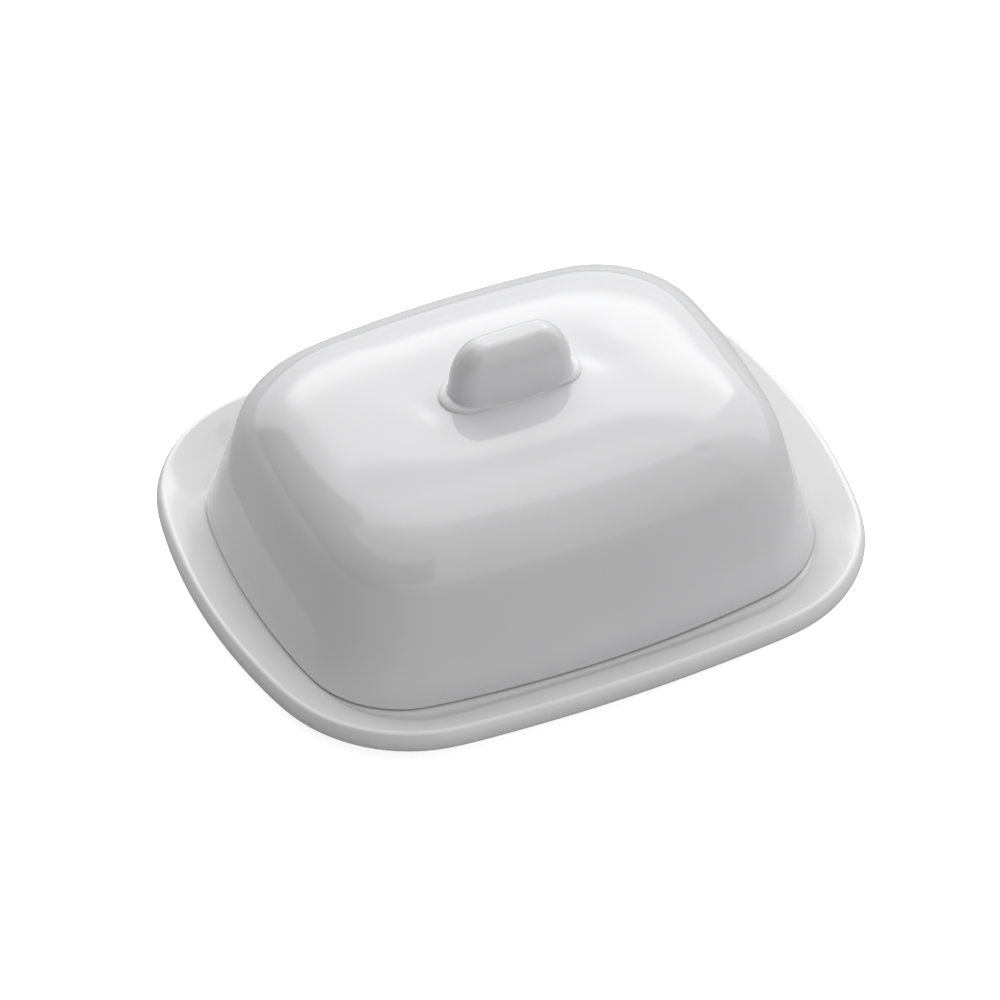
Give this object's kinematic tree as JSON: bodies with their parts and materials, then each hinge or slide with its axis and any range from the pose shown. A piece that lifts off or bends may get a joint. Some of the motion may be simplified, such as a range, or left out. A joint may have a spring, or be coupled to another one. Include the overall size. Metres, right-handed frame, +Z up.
{
  "type": "butter dish",
  "caption": "Rounded oblong dish with a thick rolled rim, covered by a loose domed lid with drafted walls, a soft shoulder and an oblong knob.",
  "frame": {"origin": "on the table, under the middle of the dish", "axes": "+X along the dish's length, +Y across it, +Z up, the way the lid lifts"},
  "size_m": [0.19, 0.159, 0.0787],
  "materials": {
    "dish_glaze": "clear glossy glaze on white porcelain, bare biscuit on the foot ring",
    "lid_glaze": "clear glossy glaze on white porcelain, bare biscuit on the lower edge",
    "knob_glaze": "clear glossy glaze on white porcelain"
  },
  "bodies": {
    "dish": {"dish": "dish_glaze"},
    "lid": {"lid_shell": "lid_glaze", "lid_knob": "knob_glaze"}
  },
  "joints": [
    {"name": "lid_lift", "type": "slide", "parent": "dish", "child": "lid", "axis": [0, 0, 1], "range_m": [0, 0.12]}
  ]
}
